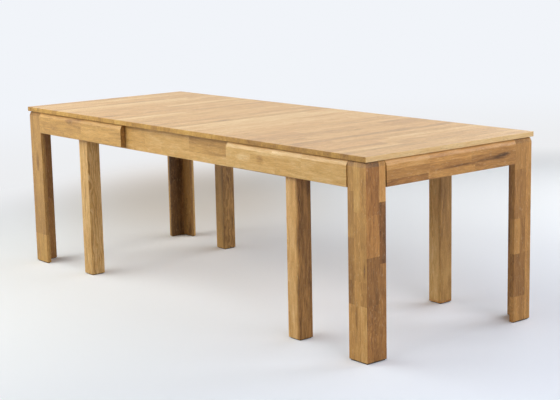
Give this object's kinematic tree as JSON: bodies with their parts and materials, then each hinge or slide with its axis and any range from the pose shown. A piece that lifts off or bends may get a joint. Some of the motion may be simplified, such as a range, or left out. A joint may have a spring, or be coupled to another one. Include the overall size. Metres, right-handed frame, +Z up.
{
  "type": "extendable dining table",
  "caption": "Rectangular solid oak dining table, drawn out: L-section corner legs slide away from square inner legs, and loose leaves fill the top.",
  "frame": {"origin": "on the floor under the middle of the drawn-out table", "axes": "+X along the table's length towards its right end, +Y across it towards the back, +Z up"},
  "size_m": [2.35, 0.9, 0.755],
  "materials": {
    "oak_top": "oiled oak, satin",
    "oak_frame": "oiled oak, satin",
    "oak_inner": "oiled oak, satin",
    "beech": "planed beech, waxed where it slides",
    "glide": "dark, matt"
  },
  "bodies": {
    "inner_frame": {"middle_cross_rail": "oak_inner", "left_cross_rail": "oak_inner", "right_cross_rail": "oak_inner", "front_inner_apron": "oak_inner", "front_runner_guide": "beech", "back_inner_apron": "oak_inner", "back_runner_guide": "beech", "front_left_inner_leg": "oak_inner", "front_left_corner_brace": "beech", "front_left_inner_glide": "glide", "back_left_inner_leg": "oak_inner", "back_left_corner_brace": "beech", "back_left_inner_glide": "glide", "front_right_inner_leg": "oak_inner", "front_right_corner_brace": "beech", "front_right_inner_glide": "glide", "back_right_inner_leg": "oak_inner", "back_right_corner_brace": "beech", "back_right_inner_glide": "glide"},
    "left_end": {"left_top": "oak_top", "left_end_apron": "oak_frame", "left_cleat": "beech", "front_left_corner_leg": "oak_frame", "front_left_side_apron": "oak_frame", "front_left_runner": "beech", "front_left_stop_peg": "beech", "front_left_corner_glide": "glide", "back_left_corner_leg": "oak_frame", "back_left_side_apron": "oak_frame", "back_left_runner": "beech", "back_left_stop_peg": "beech", "back_left_corner_glide": "glide", "left_seam_front_dowel": "beech", "left_seam_middle_dowel": "beech", "left_seam_back_dowel": "beech"},
    "right_end": {"right_top": "oak_top", "right_end_apron": "oak_frame", "right_cleat": "beech", "front_right_corner_leg": "oak_frame", "front_right_side_apron": "oak_frame", "front_right_runner": "beech", "front_right_stop_peg": "beech", "front_right_corner_glide": "glide", "back_right_corner_leg": "oak_frame", "back_right_side_apron": "oak_frame", "back_right_runner": "beech", "back_right_stop_peg": "beech", "back_right_corner_glide": "glide"},
    "left_leaf": {"left_leaf": "oak_top", "middle_seam_front_dowel": "beech", "middle_seam_middle_dowel": "beech", "middle_seam_back_dowel": "beech"},
    "right_leaf": {"right_leaf": "oak_top", "right_seam_front_dowel": "beech", "right_seam_middle_dowel": "beech", "right_seam_back_dowel": "beech"}
  },
  "joints": [
    {"name": "left_end_slide", "type": "slide", "parent": "inner_frame", "child": "left_end", "axis": [1, 0, 0], "range_m": [0, 0.375]},
    {"name": "right_end_slide", "type": "slide", "parent": "inner_frame", "child": "right_end", "axis": [-1, 0, 0], "range_m": [0, 0.375]},
    {"name": "left_leaf_lift", "type": "slide", "parent": "inner_frame", "child": "left_leaf", "axis": [0, 0, 1], "range_m": [0, 0.3]},
    {"name": "right_leaf_lift", "type": "slide", "parent": "inner_frame", "child": "right_leaf", "axis": [0, 0, 1], "range_m": [0, 0.3]}
  ],
  "couplings": [
    {"joint": "left_leaf_lift", "follows": "left_end_slide", "ratio": 0.8},
    {"joint": "right_leaf_lift", "follows": "right_end_slide", "ratio": 0.8}
  ]
}
